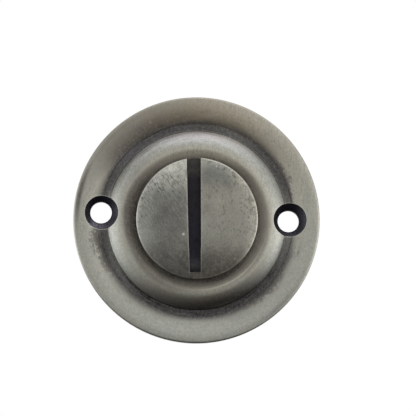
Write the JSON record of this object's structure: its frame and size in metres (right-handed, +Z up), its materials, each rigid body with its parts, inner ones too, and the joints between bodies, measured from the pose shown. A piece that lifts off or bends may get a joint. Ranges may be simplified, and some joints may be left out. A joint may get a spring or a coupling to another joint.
{
  "type": "bathroom door emergency release rose",
  "caption": "Round cast door rose with a raised boss, countersunk screw holes and a coin-slotted release that turns a square spindle.",
  "frame": {"origin": "on the axis that the release turns about, in the plane of the door's outside face", "axes": "as fixed on a door: the face looks along -Y, the door is at Y = 0 and behind it along +Y, +Z is up, and the fixing holes lie along X"},
  "size_m": [0.05, 0.0082, 0.05],
  "materials": {
    "pewter_rose": "antique pewter, brushed, dark in the hollows",
    "pewter_release": "antique pewter, brushed and worn",
    "spring_steel": "bright rolled strip",
    "brass_washer": "plain stamped",
    "black_steel": "phosphated black"
  },
  "bodies": {
    "rose": {"rose": "pewter_rose"},
    "release": {"release_turn": "pewter_release", "wave_washer": "spring_steel", "thrust_washer": "brass_washer", "circlip": "black_steel"}
  },
  "joints": [
    {"name": "release_turn", "type": "hinge", "parent": "rose", "child": "release", "pos_m": [0, 0, 0], "axis": [0, -1, 0], "continuous": true}
  ]
}
